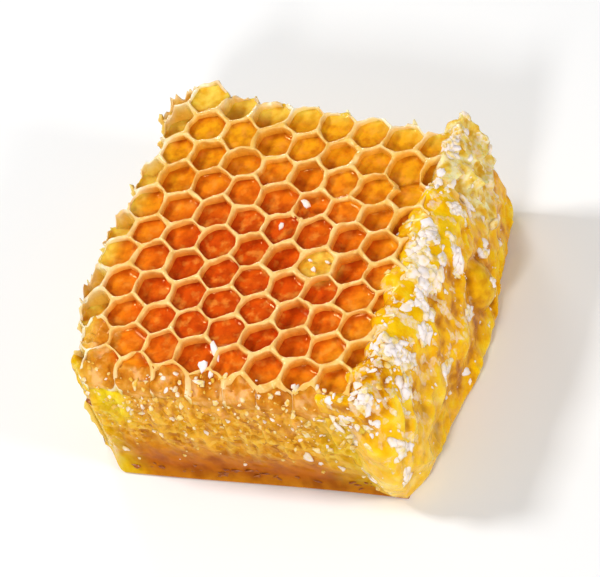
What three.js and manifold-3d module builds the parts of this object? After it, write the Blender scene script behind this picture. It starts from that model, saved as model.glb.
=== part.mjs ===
// A rough-cut piece of honeycomb, lying flat on one face.
//
// Beeswax cells stand back to back on a middle sheet, open at both faces and
// filled with honey to just under their mouths. The front (-Y) and right (+X)
// sides were cut with a knife, and the back and left sides were torn along the
// cell walls. Honey and crushed wax cling to the right side in a lumpy run.
//
// Millimetres, +Z up. The origin is the middle of the underside.

import * as THREE from "three";
import { mergeVertices } from "three/addons/utils/BufferGeometryUtils.js";
import Module from "manifold-3d";

const wasm = await Module();
wasm.setup();

// ---- Driving dimensions ------------------------------------------------

const WIDTH = 54; // X, the room that the comb and its run are cut to
const DEPTH = 54; // Y, the same
const THICKNESS = 22; // from rim to rim

const CELL = 5.3; // across the flats, from wall middle to wall middle
const RIM = 0.9; // thickness of a wall at the cell's mouth
const LATTICE_TURN = THREE.MathUtils.degToRad(24); // rows against the X axis
const LATTICE_START = [-22, 18.25]; // middle of the first upper cell

const HONEY_DEPTH = { least: 1.0, most: 2.2 }; // below the upper rims
const UNDERSIDE_DEPTH = 1.1; // the same below the lower rims

const KNIFE_GAP = 0.3; // between the comb's cut side and the honey run
const TORN_DROP = { least: 0.4, most: 4.2 }; // of a torn cell's rim
const TORN_LUCK = 0.4; // share of a torn cell's drop that is left to chance
const CUT_DROP = { least: 1.8, most: 2.6 }; // of a rim that the knife took off
const EDGE_BAND = 3.6; // cells closer to the outline than this are edge cells
const MOUTH_ROUNDING = 0.2; // share of each side cut off at a mouth's corners
const JOIN = 0.12; // how far neighbouring prisms reach into each other
const CLEAR = 1; // how far a cutter reaches past the faces

// Corners that the cells' middles lie within, from the back left, clockwise.
const OUTLINE = [
  [-24.2, 24.6],
  [6.0, 24.4],
  [22.0, 21.5],
  [25.0, -29.0],
  [-20.5, -28.0],
  [-25.4, -12.0],
  [-26.4, -6.0],
];

// The knife's two planes, as the distance of each end from the Z axis.
const FRONT_CUT = { left: -26.4, right: -26.75 };
const RIGHT_CUT = { back: 20.8, front: 23.2 };

// The honey run on the right side, which ends short of the comb's corners.
const RUN_THICKNESS = { foot: 1.1, belly: 2.8, lump: 0.5, least: 0.5 };
const RUN_BELLY = { foot: 0.25, top: 1 }; // where its half wave starts and ends
const RUN_LUMPS = { along: 11, up: 4.2, slant: 3, start: 0.6 }; // radians
const RUN_TAPER = { front: 0.14, back: 0.2 }; // shares of its length
const RUN_TOP = 20.4;
const RUN_SHORT = { front: 0.6, back: 5.2 };
const RUN_STEPS = { along: 15, up: 7 };

const COLOURS = { wax: 0xe9a63a, honey: 0xd98a12 };

// ---- Helpers -----------------------------------------------------------

// A repeatable number from 0 to 1 for each cell.
function chance(i, j, kind) {
  const wave = Math.sin(i * 12.9898 + j * 78.233 + kind * 37.719) * 43758.5453;
  return wave - Math.floor(wave);
}

function between({ least, most }, share) {
  return least + (most - least) * share;
}

function toSolid(geometry) {
  const bare = new THREE.BufferGeometry();
  const points = geometry.index ? geometry.toNonIndexed() : geometry;
  bare.setAttribute("position", points.getAttribute("position"));
  const merged = mergeVertices(bare, 1e-4);
  return new wasm.Manifold(
    new wasm.Mesh({
      numProp: 3,
      vertProperties: new Float32Array(merged.attributes.position.array),
      triVerts: new Uint32Array(merged.index.array),
    }),
  );
}

function toGeometry(solid) {
  const mesh = solid.getMesh();
  const geometry = new THREE.BufferGeometry();
  geometry.setAttribute(
    "position",
    new THREE.BufferAttribute(new Float32Array(mesh.vertProperties), 3),
  );
  geometry.setIndex(new THREE.BufferAttribute(new Uint32Array(mesh.triVerts), 1));
  geometry.computeVertexNormals();
  return geometry;
}

// An upright prism over a closed outline of [x, y] corners.
function prism(corners, bottom, top) {
  const shape = new THREE.Shape(corners.map(([x, y]) => new THREE.Vector2(x, y)));
  const geometry = new THREE.ExtrudeGeometry(shape, {
    depth: top - bottom,
    bevelEnabled: false,
  });
  geometry.translate(0, 0, bottom);
  return toSolid(geometry);
}

// A hexagon in line with the cells. A corner cut above 0 takes that share off
// each side at its ends, which rounds the mouth.
function hexagon([x, y], acrossFlats, cornerCut = 0) {
  const reach = acrossFlats / Math.sqrt(3);
  const corner = (i) => {
    const angle = LATTICE_TURN + (i * Math.PI) / 3;
    return [x + reach * Math.cos(angle), y + reach * Math.sin(angle)];
  };
  const outline = [];
  for (let i = 0; i < 6; i++) {
    const [here, next] = [corner(i), corner(i + 1)];
    const mix = (t) => [0, 1].map((k) => here[k] + (next[k] - here[k]) * t);
    outline.push(mix(cornerCut));
    if (cornerCut > 0) outline.push(mix(1 - cornerCut));
  }
  return outline;
}

// Distance of a point inside a clockwise outline to its nearest side. It is
// below 0 outside.
function insetOf([x, y], outline) {
  let nearest = Infinity;
  outline.forEach(([x0, y0], i) => {
    const [x1, y1] = outline[(i + 1) % outline.length];
    const length = Math.hypot(x1 - x0, y1 - y0);
    const side = ((x1 - x0) * (y - y0) - (y1 - y0) * (x - x0)) / length;
    nearest = Math.min(nearest, -side);
  });
  return nearest;
}

// ---- Cells -------------------------------------------------------------

// Cells of one face whose middles lie within the outline. The cells of the
// two faces are half a cell apart, so that each meets three behind it.
function cellsOf(shift) {
  const columnStep = (CELL * Math.sqrt(3)) / 2;
  const cells = [];
  for (let column = -4; column <= 14; column++) {
    for (let row = -14; row <= 6; row++) {
      const along = column * columnStep + shift;
      const up = (row + (column % 2 === 0 ? 0 : 0.5)) * CELL;
      const middle = [
        LATTICE_START[0] + along * Math.cos(LATTICE_TURN) - up * Math.sin(LATTICE_TURN),
        LATTICE_START[1] + along * Math.sin(LATTICE_TURN) + up * Math.cos(LATTICE_TURN),
      ];
      const inset = insetOf(middle, OUTLINE);
      if (inset > 0) cells.push({ column, row, middle, inset });
    }
  }
  return cells;
}

// How far a cell's rim lies below the face. It is 0 away from the sides, and a
// torn cell lies lower the nearer it is to the outline.
function rimDrop({ column, row, middle, inset }) {
  if (inset > EDGE_BAND) return 0;
  const luck = chance(column, row, 1);
  const atKnife = middle[1] < FRONT_CUT.left + CELL;
  if (atKnife) return between(CUT_DROP, luck);
  const share = 1 - TORN_LUCK + TORN_LUCK * luck;
  return between(TORN_DROP, (1 - inset / EDGE_BAND) * share);
}

// The blank that the knife left: straight at the front and the right.
function knifeBlank(bottom, top) {
  const corners = [
    [-WIDTH / 2, DEPTH / 2],
    [RIGHT_CUT.back, DEPTH / 2],
    [RIGHT_CUT.front, FRONT_CUT.right],
    [-WIDTH / 2, FRONT_CUT.left],
  ];
  return prism(corners, bottom, top);
}

// Wax and honey as one body: a prism for each cell, less its open mouth.
function comb() {
  const half = THICKNESS / 2;
  const oversize = CELL + JOIN;
  const mouth = CELL - RIM;
  const upper = cellsOf(0);
  const lower = cellsOf(CELL / Math.sqrt(3));

  let body = null;
  const join = (solid) => {
    body = body ? body.add(solid) : solid;
  };
  upper.forEach((cell) => {
    join(prism(hexagon(cell.middle, oversize), half, THICKNESS - rimDrop(cell)));
  });
  lower.forEach((cell) => {
    join(prism(hexagon(cell.middle, oversize), 0, half + JOIN));
  });
  body = body.intersect(knifeBlank(-CLEAR, THICKNESS + CLEAR));

  upper.forEach((cell) => {
    const floor =
      THICKNESS - rimDrop(cell) - between(HONEY_DEPTH, chance(cell.column, cell.row, 2));
    const rounding = cell.inset > EDGE_BAND ? MOUTH_ROUNDING : 0;
    const outline = hexagon(cell.middle, mouth, rounding);
    body = body.subtract(prism(outline, floor, THICKNESS + CLEAR));
  });
  lower.forEach((cell) => {
    if (cell.inset < EDGE_BAND) return;
    body = body.subtract(prism(hexagon(cell.middle, mouth), -CLEAR, UNDERSIDE_DEPTH));
  });
  return body;
}

// ---- Honey run ---------------------------------------------------------

// Thickness of the run at a share of its length from the front and of its
// height: a belly below half height, and slow lumps along it. It tapers at the
// front, and at the back less and less with height.
function runThickness(along, up) {
  const phase = THREE.MathUtils.lerp(RUN_BELLY.foot, RUN_BELLY.top, up);
  const belly = RUN_THICKNESS.belly * Math.sin(Math.PI * phase);
  const wave =
    Math.sin(along * RUN_LUMPS.along + RUN_LUMPS.start) *
    Math.cos(up * RUN_LUMPS.up + along * RUN_LUMPS.slant);
  const full = RUN_THICKNESS.foot + belly + RUN_THICKNESS.lump * wave;
  const taper = Math.min(1, along / RUN_TAPER.front, (1 - along) / RUN_TAPER.back + up);
  return Math.max(RUN_THICKNESS.least, full * taper);
}

// A closed skin between the cut side and the run's outer surface.
function honeyRun() {
  const { along, up } = RUN_STEPS;
  const back = DEPTH / 2 - RUN_SHORT.back;
  const front = FRONT_CUT.right + RUN_SHORT.front;
  const positions = [];
  const index = [];
  const layer = (along + 1) * (up + 1);
  for (const outer of [0, 1]) {
    for (let j = 0; j <= up; j++) {
      for (let i = 0; i <= along; i++) {
        const [s, t] = [i / along, j / up];
        const y = front + (back - front) * s;
        const towardsBack = (y - FRONT_CUT.right) / (DEPTH / 2 - FRONT_CUT.right);
        const side = THREE.MathUtils.lerp(RIGHT_CUT.front, RIGHT_CUT.back, towardsBack);
        const out = outer ? runThickness(s, t) : 0;
        positions.push(side + KNIFE_GAP + out, y, t * RUN_TOP);
      }
    }
  }
  const at = (outer, i, j) => outer * layer + j * (along + 1) + i;
  const quad = (a, b, c, d) => index.push(a, b, c, a, c, d);
  for (let j = 0; j < up; j++) {
    for (let i = 0; i < along; i++) {
      quad(at(1, i, j), at(1, i + 1, j), at(1, i + 1, j + 1), at(1, i, j + 1));
      quad(at(0, i, j), at(0, i, j + 1), at(0, i + 1, j + 1), at(0, i + 1, j));
    }
    quad(at(0, 0, j), at(1, 0, j), at(1, 0, j + 1), at(0, 0, j + 1));
    quad(at(1, along, j), at(0, along, j), at(0, along, j + 1), at(1, along, j + 1));
  }
  for (let i = 0; i < along; i++) {
    quad(at(0, i, 0), at(0, i + 1, 0), at(1, i + 1, 0), at(1, i, 0));
    quad(at(1, i, up), at(1, i + 1, up), at(0, i + 1, up), at(0, i, up));
  }
  const geometry = new THREE.BufferGeometry();
  geometry.setAttribute("position", new THREE.Float32BufferAttribute(positions, 3));
  geometry.setIndex(index);
  return toSolid(geometry);
}

// ---- The part ----------------------------------------------------------

function piece(name, solid, colour, roughness) {
  const material = new THREE.MeshStandardMaterial({
    color: colour,
    roughness,
    metalness: 0,
  });
  const mesh = new THREE.Mesh(toGeometry(solid), material);
  mesh.name = name;
  return mesh;
}

const honeycomb = new THREE.Group();
honeycomb.add(piece("comb", comb(), COLOURS.wax, 0.45));
honeycomb.add(piece("honey_run", honeyRun(), COLOURS.honey, 0.15));

export default honeycomb;
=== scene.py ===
"""A rough-cut piece of honeycomb, built round its CAD frame.

Beeswax cells stand back to back on a middle sheet. The upper cells hold honey
to just under their mouths, the front and right sides were cut with a knife and
run with honey and crushed wax, and the back and left sides were torn along the
cell walls.

Shapes are worked out in millimetres, and put into Blender in metres.
"""

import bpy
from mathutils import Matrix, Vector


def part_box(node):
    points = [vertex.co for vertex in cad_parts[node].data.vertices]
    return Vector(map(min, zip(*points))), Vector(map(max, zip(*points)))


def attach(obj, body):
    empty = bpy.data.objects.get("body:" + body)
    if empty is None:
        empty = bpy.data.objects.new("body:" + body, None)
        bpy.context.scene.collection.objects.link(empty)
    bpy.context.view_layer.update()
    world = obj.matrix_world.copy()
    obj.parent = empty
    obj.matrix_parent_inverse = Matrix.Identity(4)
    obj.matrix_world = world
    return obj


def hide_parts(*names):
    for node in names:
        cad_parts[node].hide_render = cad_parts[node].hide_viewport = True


bl_info = {
    "name": "Honeycomb Piece",
    "version": (1, 0, 0),
    "blender": (4, 5, 0),
    "location": "View3D > Sidebar > Honeycomb",
    "description": "Builds a cut piece of honeycomb: wax cells, honey and torn edges",
    "category": "Object",
}

import bmesh
import bpy
import numpy as np
from bpy.props import FloatProperty, FloatVectorProperty, IntProperty, PointerProperty
from mathutils import Matrix, Vector

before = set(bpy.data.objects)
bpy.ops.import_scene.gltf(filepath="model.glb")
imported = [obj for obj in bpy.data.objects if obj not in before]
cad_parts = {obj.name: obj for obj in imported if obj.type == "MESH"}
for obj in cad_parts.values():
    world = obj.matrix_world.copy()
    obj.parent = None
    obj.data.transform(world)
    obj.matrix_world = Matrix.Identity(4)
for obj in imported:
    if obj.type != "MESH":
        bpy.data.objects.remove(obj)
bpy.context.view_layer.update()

# ---- Driving dimensions, in millimetres ---------------------------------

MM = 0.001  # metres
SQRT3 = np.sqrt(3)
COMB_LOW, COMB_HIGH = (np.array(corner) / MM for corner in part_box("comb"))
RUN_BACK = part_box("honey_run")[1][1] / MM
THICKNESS = COMB_HIGH[2]
MIDDLE = THICKNESS / 2

CELL = 5.3  # across the flats, from wall middle to wall middle
BEAD_DEPTH = 0.28  # height of the bead round a cell's mouth
LATTICE_TURN = np.radians(24)
LATTICE_START = np.array([-22.0, 18.25])  # middle of the cell in column 0, row 0
ALONG = np.array([np.cos(LATTICE_TURN), np.sin(LATTICE_TURN)])
UP = np.array([-np.sin(LATTICE_TURN), np.cos(LATTICE_TURN)])
COLUMNS = np.arange(-4, 15)
ROWS = np.arange(-14, 7)

# Corners that the cells' middles lie within, from the back left, clockwise.
OUTLINE = np.array(
    [
        [-24.2, 24.6],
        [6.0, 24.4],
        [22.0, 21.5],
        [25.0, -29.0],
        [-20.5, -28.0],
        [-25.4, -12.0],
        [-26.4, -6.0],
    ]
)
FRONT_CUT = {"left": -26.4, "right": -26.75}  # y of the front at both ends
RIGHT_CUT = {"back": 20.8, "front": 23.2}  # x of the right side at both ends
UNDERSIDE_DEPTH = 1.1  # from the lower mouths to their honey
LAYER_SHIFT = CELL / SQRT3  # how far the lower cells stand aside from the upper ones
BOW_REACH = 25.0  # the rows bow by about half a millimetre this far out
SQUEEZE = 1.2  # room that is left for what would stand out past a limit


# ---- Shared formulas ----------------------------------------------------


def chance(i, j, kind):
    """A repeatable number from 0 to 1 for each pair of whole numbers."""
    wave = np.sin(i * 12.9898 + j * 78.233 + kind * 37.719) * 43758.5453
    return wave - np.floor(wave)


def noise(points, size, kind):
    """Smooth noise from -1 to 1: chances on a grid of the given size, blended
    smoothly between its corners."""
    places = points / size
    base = np.floor(places)
    share = places - base
    share = share * share * (3 - 2 * share)
    total = np.zeros(points.shape[:-1])
    for corner in np.ndindex(*(2,) * points.shape[-1]):
        spot = base + corner
        third = spot[..., 2] * 45.164 if points.shape[-1] == 3 else 0
        weight = np.prod(np.where(corner, share, 1 - share), axis=-1)
        total += weight * chance(spot[..., 0] + third, spot[..., 1], kind)
    return total * 2 - 1


def step(low, high, value):
    """0 below low, 1 above high, and a smooth ramp between them."""
    share = np.clip((value - low) / (high - low), 0, 1)
    return share * share * (3 - 2 * share)


def between(limits, share):
    """The value at a share of the way from the first limit to the second."""
    return limits[0] + (limits[1] - limits[0]) * share


def raised(flat, level):
    """Points from flat places and their heights."""
    level = np.broadcast_to(level, flat.shape[:-1])
    return np.concatenate([flat, level[..., None]], axis=-1)


def lattice_spot(column, down):
    """Middle of a cell, by its column and by how many cells it lies in front of row 0."""
    return LATTICE_START + column * CELL * SQRT3 / 2 * ALONG - down * CELL * UP


def inset_of(points):
    """Distance inside the outline to its nearest side, below 0 outside."""
    starts, ends = OUTLINE, np.roll(OUTLINE, -1, axis=0)
    sides = ends - starts
    lengths = np.linalg.norm(sides, axis=1)
    gap = points[..., None, :] - starts
    across = sides[:, 0] * gap[..., 1] - sides[:, 1] * gap[..., 0]
    return -(across / lengths).max(axis=-1)


def held_in(value, limit):
    """A value held above a limit: what lies below it is squeezed into SQUEEZE."""
    beyond = np.minimum(value - limit, 0)
    return value - beyond + SQUEEZE * np.tanh(beyond / SQUEEZE)


def wander(points):
    """Points of the even lattice moved a little: its rows bow towards the back left
    and the front right, each cell differs in size and shape, and nothing reaches
    far out of the piece's box at the left and the back."""
    flat = points[..., :2]
    x, y = flat[..., 0] / BOW_REACH, flat[..., 1] / BOW_REACH
    bow = np.stack([0.6 * (y * y - x * x), 0.7 * x * x - 0.5 * x * y - 0.2], axis=-1)
    uneven = [
        0.36 * noise(flat, 4.3, kind) + 0.18 * noise(flat, 1.5, kind + 2)
        for kind in (11, 12)
    ]
    moved = points.copy()
    moved[..., :2] += bow + np.stack(uneven, axis=-1)
    moved[..., 0] = held_in(moved[..., 0], COMB_LOW[0] + SQUEEZE / 3)
    moved[..., 1] = -held_in(-moved[..., 1], -COMB_HIGH[1] + SQUEEZE / 3)
    return moved


def front_of(x):
    """y of the knife's front cut at x."""
    share = (x - COMB_LOW[0]) / (COMB_HIGH[0] - COMB_LOW[0])
    return between((FRONT_CUT["left"], FRONT_CUT["right"]), share)


def right_of(y):
    """x of the knife's right cut at y."""
    share = (y - COMB_LOW[1]) / (COMB_HIGH[1] - COMB_LOW[1])
    return between((RIGHT_CUT["front"], RIGHT_CUT["back"]), share)


BACK_TIP = (-19.4, 25.2)  # the one cell at the back left that stands at full height

# Walls that broke below the honey or stand chipped: column, cells down, radius, drop.
FLOODED_BREAK = (7.0, 4.0, 1.5, 2.9)
CRYSTAL_CELL = (4.0, 6.0)  # column and cells down of one cell with crystallised honey
BREAKS = [
    FLOODED_BREAK,
    (1.55, 5.3, 0.8, 0.9),
    (3.5, 4.25, 0.9, 0.7),
    (8.0, 4.6, 1.6, 1.2),
    (7.0, 1.2, 2.6, 3.0),
    (6.6, 8.6, 1.5, 1.0),
    (5.2, 10.2, 1.3, 0.8),
]


def rim_height(points):
    """Height of the upper rims: the face, less what was torn off the outermost cells
    at the back, the step down to the left, the slice along the front and the broken
    walls, with ragged and uneven crests."""
    flat = points[..., :2]
    x, y = flat[..., 0], flat[..., 1]
    inset = inset_of(flat)
    luck = 0.5 + 0.5 * noise(flat, 5.0, 29)
    ragged = np.abs(noise(flat, 1.2, 21)) + 0.5 * np.abs(noise(flat, 0.7, 22))
    drop = 3.8 * step(1.6, -2.2, inset) * (0.3 + 0.7 * luck)
    drop += step(3.4, -1.2, inset) * (0.1 + 1.9 * ragged)
    stepped = step(-17.0, -26.5, x + 1.5 * noise(flat, 6.0, 27))
    drop += stepped * (1.2 + 0.9 * noise(flat, 3.0, 28))
    drop *= step(0, 4, right_of(y) - x + 1.5)
    drop *= 1 - 0.8 * np.exp(-((np.linalg.norm(flat - BACK_TIP, axis=-1) / 3.4) ** 4))
    sliced = np.clip((front_of(x) + 3.4 - y) / 3.6, 0, 1)
    drop = drop * (1 - step(0, 0.4, sliced)) + sliced * (1.4 + 3.4 * sliced)
    drop += sliced * (0.6 * noise(flat, 1.6, 23) + 0.5 * noise(flat, 0.7, 30))
    for column, down, radius, depth in BREAKS:
        gap = np.linalg.norm(flat - lattice_spot(column, down), axis=-1)
        drop += depth * np.exp(-((gap / radius) ** 4))
    uneven = 0.26 * noise(flat, 2.6, 24) + 0.2 * noise(flat, 0.9, 25)
    return THICKNESS - drop + uneven


def flooded(places):
    """1 where the cells are full to their rims, along the front and at its left end."""
    x, y = places[..., 0], places[..., 1]
    front = step(3.6, 3.2, y - front_of(x))
    left = step(-16.5, -17.0, x) * step(-15.5, -16.0, y)
    return np.maximum(front, left)


# ---- Cells --------------------------------------------------------------

SIDE_STEPS = 7  # points along one side of an upper cell
LOWER_STEPS = 4  # the same for a lower cell
UPPER_FLOOR = MIDDLE + 1.2  # height of the wax under an upper cell's honey
LOWER_FLOOR = 1.6  # height of the wax above a lower cell's honey
INTO_WAX = 0.06  # how far honey reaches into a wall, so that no gap shows
CLIMB = 0.55  # how high the honey climbs at the wall
CLIMB_REACH = 0.42  # how far from the wall its climb falls off
WALL_ROUNDNESS = 0.1  # 0 is a hexagon and 1 a circle
LEAST_LIP = 0.1  # a bead is at least this thick on its own side of the wall
DENT = 0.9  # how deep the outer sides of the torn cells are pressed in at most


def cells_of(shift):
    """Column, row and middle of one face's cells whose middles lie within the outline."""
    grid = np.meshgrid(COLUMNS, ROWS, indexing="ij")
    column, row = (values.ravel() for values in grid)
    along = column * CELL * SQRT3 / 2 + shift
    up = (row + 0.5 * (column % 2)) * CELL
    middle = LATTICE_START + along[:, None] * ALONG + up[:, None] * UP
    kept = inset_of(middle) > 0
    return column[kept], row[kept], middle[kept]


def around(side_steps):
    """Unit directions round a cell, and the distance to its boundary along each."""
    share = np.arange(6 * side_steps) / side_steps
    side = np.floor(share)
    corners = [LATTICE_TURN + (side + extra) * np.pi / 3 for extra in (0, 1)]
    here, there = (
        np.stack([np.cos(angle), np.sin(angle)], axis=-1) * CELL / SQRT3
        for angle in corners
    )
    edge = here + (there - here) * (share - side)[:, None]
    reach = np.linalg.norm(edge, axis=1)
    return edge / reach[:, None], reach


def bore_reach(reach, wall, roundness):
    """Distance from a cell's middle to the inside of its walls: a hexagon blended
    with a circle, as far as a wall's half thickness from the middle lines."""
    flat = CELL / 2 - wall / 2
    corner = reach / (CELL / 2)
    return flat[:, None] * ((1 - roundness[:, None]) * corner + roundness[:, None])


def bores(column, row, middle, direction, reach, sizes):
    """Distances to each cell's mouth, inside a bead of uneven thickness, and to its
    wall below."""
    bead = sizes.bead / MM * (0.7 + 0.7 * chance(column, row, 3))
    mouth = bore_reach(reach, bead, 0.2 + 0.35 * chance(column, row, 4))
    mouth += 0.13 * noise(middle[:, None, :] + direction * mouth[..., None], 1.8, 13)
    mouth = np.minimum(mouth, reach - LEAST_LIP)
    thickness = np.full(len(column), sizes.wall / MM)
    wall = bore_reach(reach, thickness, np.full(len(column), WALL_ROUNDNESS))
    return mouth, wall


def six_ways(first):
    """Six unit directions, a sixth of a turn apart from the first angle on."""
    angle = first + np.arange(6) * np.pi / 3
    return np.stack([np.cos(angle), np.sin(angle)], axis=-1)


SIDE_NORMALS = six_ways(LATTICE_TURN + np.pi / 6)
CORNER_WAYS = six_ways(LATTICE_TURN)


def open_sides(middle):
    """For each cell and each of its sides, whether no other cell stands there."""
    beyond = middle[:, None, :] + CELL * SIDE_NORMALS
    gap = np.linalg.norm(beyond[:, :, None, :] - middle, axis=-1)
    return ~(gap < CELL / 10).any(axis=-1)


OTHER_WAY = [0, 3, 2, 1]  # a quad's corners, turned about


def rings_to_faces(cells, rings, turn, kept=None):
    """Quads between neighbouring rings of every cell: all, or where kept says so."""
    cell, ring, spot = np.meshgrid(
        np.arange(cells), np.arange(rings - 1), np.arange(turn), indexing="ij"
    )
    start = (cell * rings + ring) * turn
    after = (spot + 1) % turn
    quads = np.stack(
        [start + spot, start + after, start + turn + after, start + turn + spot], axis=-1
    )
    return quads.reshape(-1, 4) if kept is None else quads[kept]


def cell_walls(shift, side_steps, height, floor, facing, sizes):
    """Wax of one face's cells as a closed body. Each cell's rings run from the
    middle of its base out to the wall's middle line, up the outer side where no
    cell stands beyond, over the rim's bead, and down the inner wall to its floor.
    Facing is 1 for the face, and -1 for the underside, which is then turned over."""
    column, row, middle = cells_of(shift)
    direction, reach = around(side_steps)
    mouth, wall = bores(column, row, middle, direction, reach, sizes)
    base = MIDDLE - 0.02  # just past the other layer's, so that no gap shows

    bead = np.linspace(0, np.pi / 2, 6)[1:]
    skirt = np.linspace(0, 1, 17)[1:]
    inner = np.array([0.04, 0.08, 0.14, 0.2, 0.3, 0.5, 1.0])
    rows = [("base", 0)]
    rows += [("skirt", share) for share in np.r_[0, skirt]]
    rows += [("bead", angle) for angle in bead]
    rows += [("inner", share) for share in inner]
    rows += [("pole", 0)]

    def flat(distance):
        """Points at a distance from each cell's middle, on the uneven lattice."""
        return wander(middle[:, None, :] + direction * distance[..., None])

    def dent(places, level, share):
        """How far an outer side is pressed in, which is 0 at its corners and ends."""
        spots = raised(places, level) * [1, 1, 0.6]
        rough = 0.5 + 0.5 * noise(spots, 2.0, 17) + 0.3 * noise(spots, 0.9, 18)
        side = np.arange(6 * side_steps) % side_steps / side_steps
        return DENT * rough * np.sin(np.pi * side) * np.sin(np.pi * share)

    pole = np.repeat(middle[:, None, :], len(direction), axis=1)
    layers = []
    for kind, share in rows:
        if kind in ("base", "pole"):
            places, level = pole, base if kind == "base" else floor
        elif kind == "skirt":
            places = flat(reach + 0 * mouth)
            level = base + (height(places) - base) * share
            places = flat(reach - dent(places, level, share))
        elif kind == "bead":
            places = flat(reach + (mouth - reach) * np.sin(share))
            level = height(places) - BEAD_DEPTH * (1 - np.cos(share))
        else:
            places = flat(mouth + (wall - mouth) * step(0, 0.2, share))
            lip = height(flat(mouth)) - BEAD_DEPTH
            level = between((lip, floor), share)
        layers.append(raised(places, level))
    points = np.stack(layers, axis=1)

    kept = np.ones((len(column), len(rows) - 1, 6 * side_steps), bool)
    beyond = np.repeat(open_sides(middle), side_steps, axis=1)
    kept[:, 1 : 1 + len(skirt), :] = beyond[:, None, :]
    quads = rings_to_faces(len(column), len(rows), 6 * side_steps, kept)
    points = points.reshape(-1, 3)
    if facing < 0:
        points[:, 2] = THICKNESS - points[:, 2]
        quads = quads[:, ::-1]
    return points, quads


def honey_level(column, row, middle, mouth_heights, sizes):
    """Level of the honey in each upper cell, below the lowest part of its rim."""
    depths = (sizes.least_depth / MM, sizes.most_depth / MM)
    level = rim_height(middle) - between(depths, chance(column, row, 2))
    level = np.minimum(level, mouth_heights.min(axis=1) - 0.4)
    gap = np.linalg.norm(middle - lattice_spot(*FLOODED_BREAK[:2]), axis=1)
    return np.where(gap < CELL, THICKNESS - 1.7, level)


def fill_cells(middle, direction, wall, level_at, floor):
    """Honey in cells as closed bodies: rings from each cell's middle out to its wall
    at the honey's level, which climbs at the wall by an exponential, then down the
    wall to the floor and back to the middle."""

    def flat(share):
        """Points at a share of the way from each cell's middle to its wall."""
        return wander(middle[:, None, :] + direction * (wall * share)[..., None])

    layers = []
    for share in np.r_[0, np.linspace(0.16, 1, 12) ** 0.8]:
        climb = CLIMB * np.exp(-(1 - share) * wall / CLIMB_REACH)
        layers.append(raised(flat(share), level_at(flat(share), climb)))
    layers += [raised(flat(share), floor) for share in (1, 0)]
    quads = rings_to_faces(len(middle), len(layers), len(direction))
    return np.stack(layers, axis=1).reshape(-1, 3), quads[:, ::-1]


def upper_honey(sizes):
    """Honey in the upper cells: below the rims, or up to them where a cell is full."""
    column, row, middle = cells_of(0)
    direction, reach = around(SIDE_STEPS)
    mouth, wall = bores(column, row, middle, direction, reach, sizes)
    lips = wander(middle[:, None, :] + direction * mouth[..., None])
    level = honey_level(column, row, middle, rim_height(lips), sizes)[:, None]
    full = flooded(middle)[:, None] > 0.5

    def level_at(places, climb):
        """A cell's own level with slight waves, or its uneven brim where it is full."""
        height = level + climb + 0.06 * noise(places, 1.7, 31) + 0.10 * noise(places, 5.0, 32)
        rough = 0.5 * noise(places, 1.4, 33) + 0.4 * noise(places, 0.65, 35)
        brim = rim_height(places) - 0.5 + rough + 0.3 * climb
        brim += 0.6 * step(2.2, 0.6, places[..., 1] - front_of(places[..., 0]))
        return np.where(full, brim, height)

    return fill_cells(middle, direction, wall + INTO_WAX, level_at, UPPER_FLOOR - 0.1)


def lower_honey(sizes):
    """Honey in the lower cells, worked out face up and then turned over."""
    column, row, middle = cells_of(LAYER_SHIFT)
    direction, reach = around(LOWER_STEPS)
    wall = bores(column, row, middle, direction, reach, sizes)[1]
    level = THICKNESS - UNDERSIDE_DEPTH - 0.3 * chance(column, row, 5)[:, None]

    def level_at(places, climb):
        """The cell's own level with slight waves."""
        return level + 0.8 * climb + 0.08 * noise(places, 2.5, 34)

    floor = THICKNESS - LOWER_FLOOR - 0.1
    points, quads = fill_cells(middle, direction, wall + INTO_WAX, level_at, floor)
    points[:, 2] = THICKNESS - points[:, 2]
    return points, quads[:, ::-1]


def painted_wall_shade(points):
    """Painted shade: 1 along the walls of the upper cells and 0 half a millimetre away from them,
    where the honey is darkened as if in the walls' shade.
    """
    return wall_share(points[..., :2], 0, 0.95)


# ---- Making pieces ------------------------------------------------------


# How far inside the front and the right cut each layer's wax ends, and its honey
# a little further in.
UPPER_CUT = np.array([0.7, 0.7])
LOWER_CUT = np.array([2.4, 0.7])
HONEY_SHRINK = 0.05
SAME_POINT = 0.002  # points nearer than this are one


def to_mesh(name, points, quads, notes=()):
    """A mesh of points in millimetres, quads, and named numbers for each point, with
    its doubled points merged and no loose point."""
    mesh = bpy.data.meshes.new(name)
    mesh.from_pydata(points.reshape(-1, 3) * MM, [], quads.tolist())
    for key, values in dict(notes).items():
        note(mesh, key, values)
    made = bmesh.new()
    made.from_mesh(mesh)
    bmesh.ops.remove_doubles(made, verts=made.verts, dist=SAME_POINT * MM)
    loose = [vertex for vertex in made.verts if not vertex.link_faces]
    bmesh.ops.delete(made, geom=loose, context="VERTS")
    made.to_mesh(mesh)
    made.free()
    return mesh


def places_of(mesh):
    """The mesh's points in millimetres."""
    found = np.empty(len(mesh.vertices) * 3, np.float32)
    mesh.vertices.foreach_get("co", found)
    return found.reshape(-1, 3).astype(float) / MM


def note(mesh, name, values):
    """Keeps one number for each point, which the material reads."""
    kept = mesh.attributes.new(name, "FLOAT", "POINT")
    kept.data.foreach_set("value", np.ravel(values).astype(np.float32))


def add_piece(name, mesh, material, stands_for=()):
    """Adds a smooth piece on the root body, in place of the CAD nodes it stands for."""
    mesh.materials.append(material)
    mesh.shade_smooth()
    piece = bpy.data.objects.new(name, mesh)
    bpy.context.scene.collection.objects.link(piece)
    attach(piece, "root")
    if stands_for:
        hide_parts(*stands_for)


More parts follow.
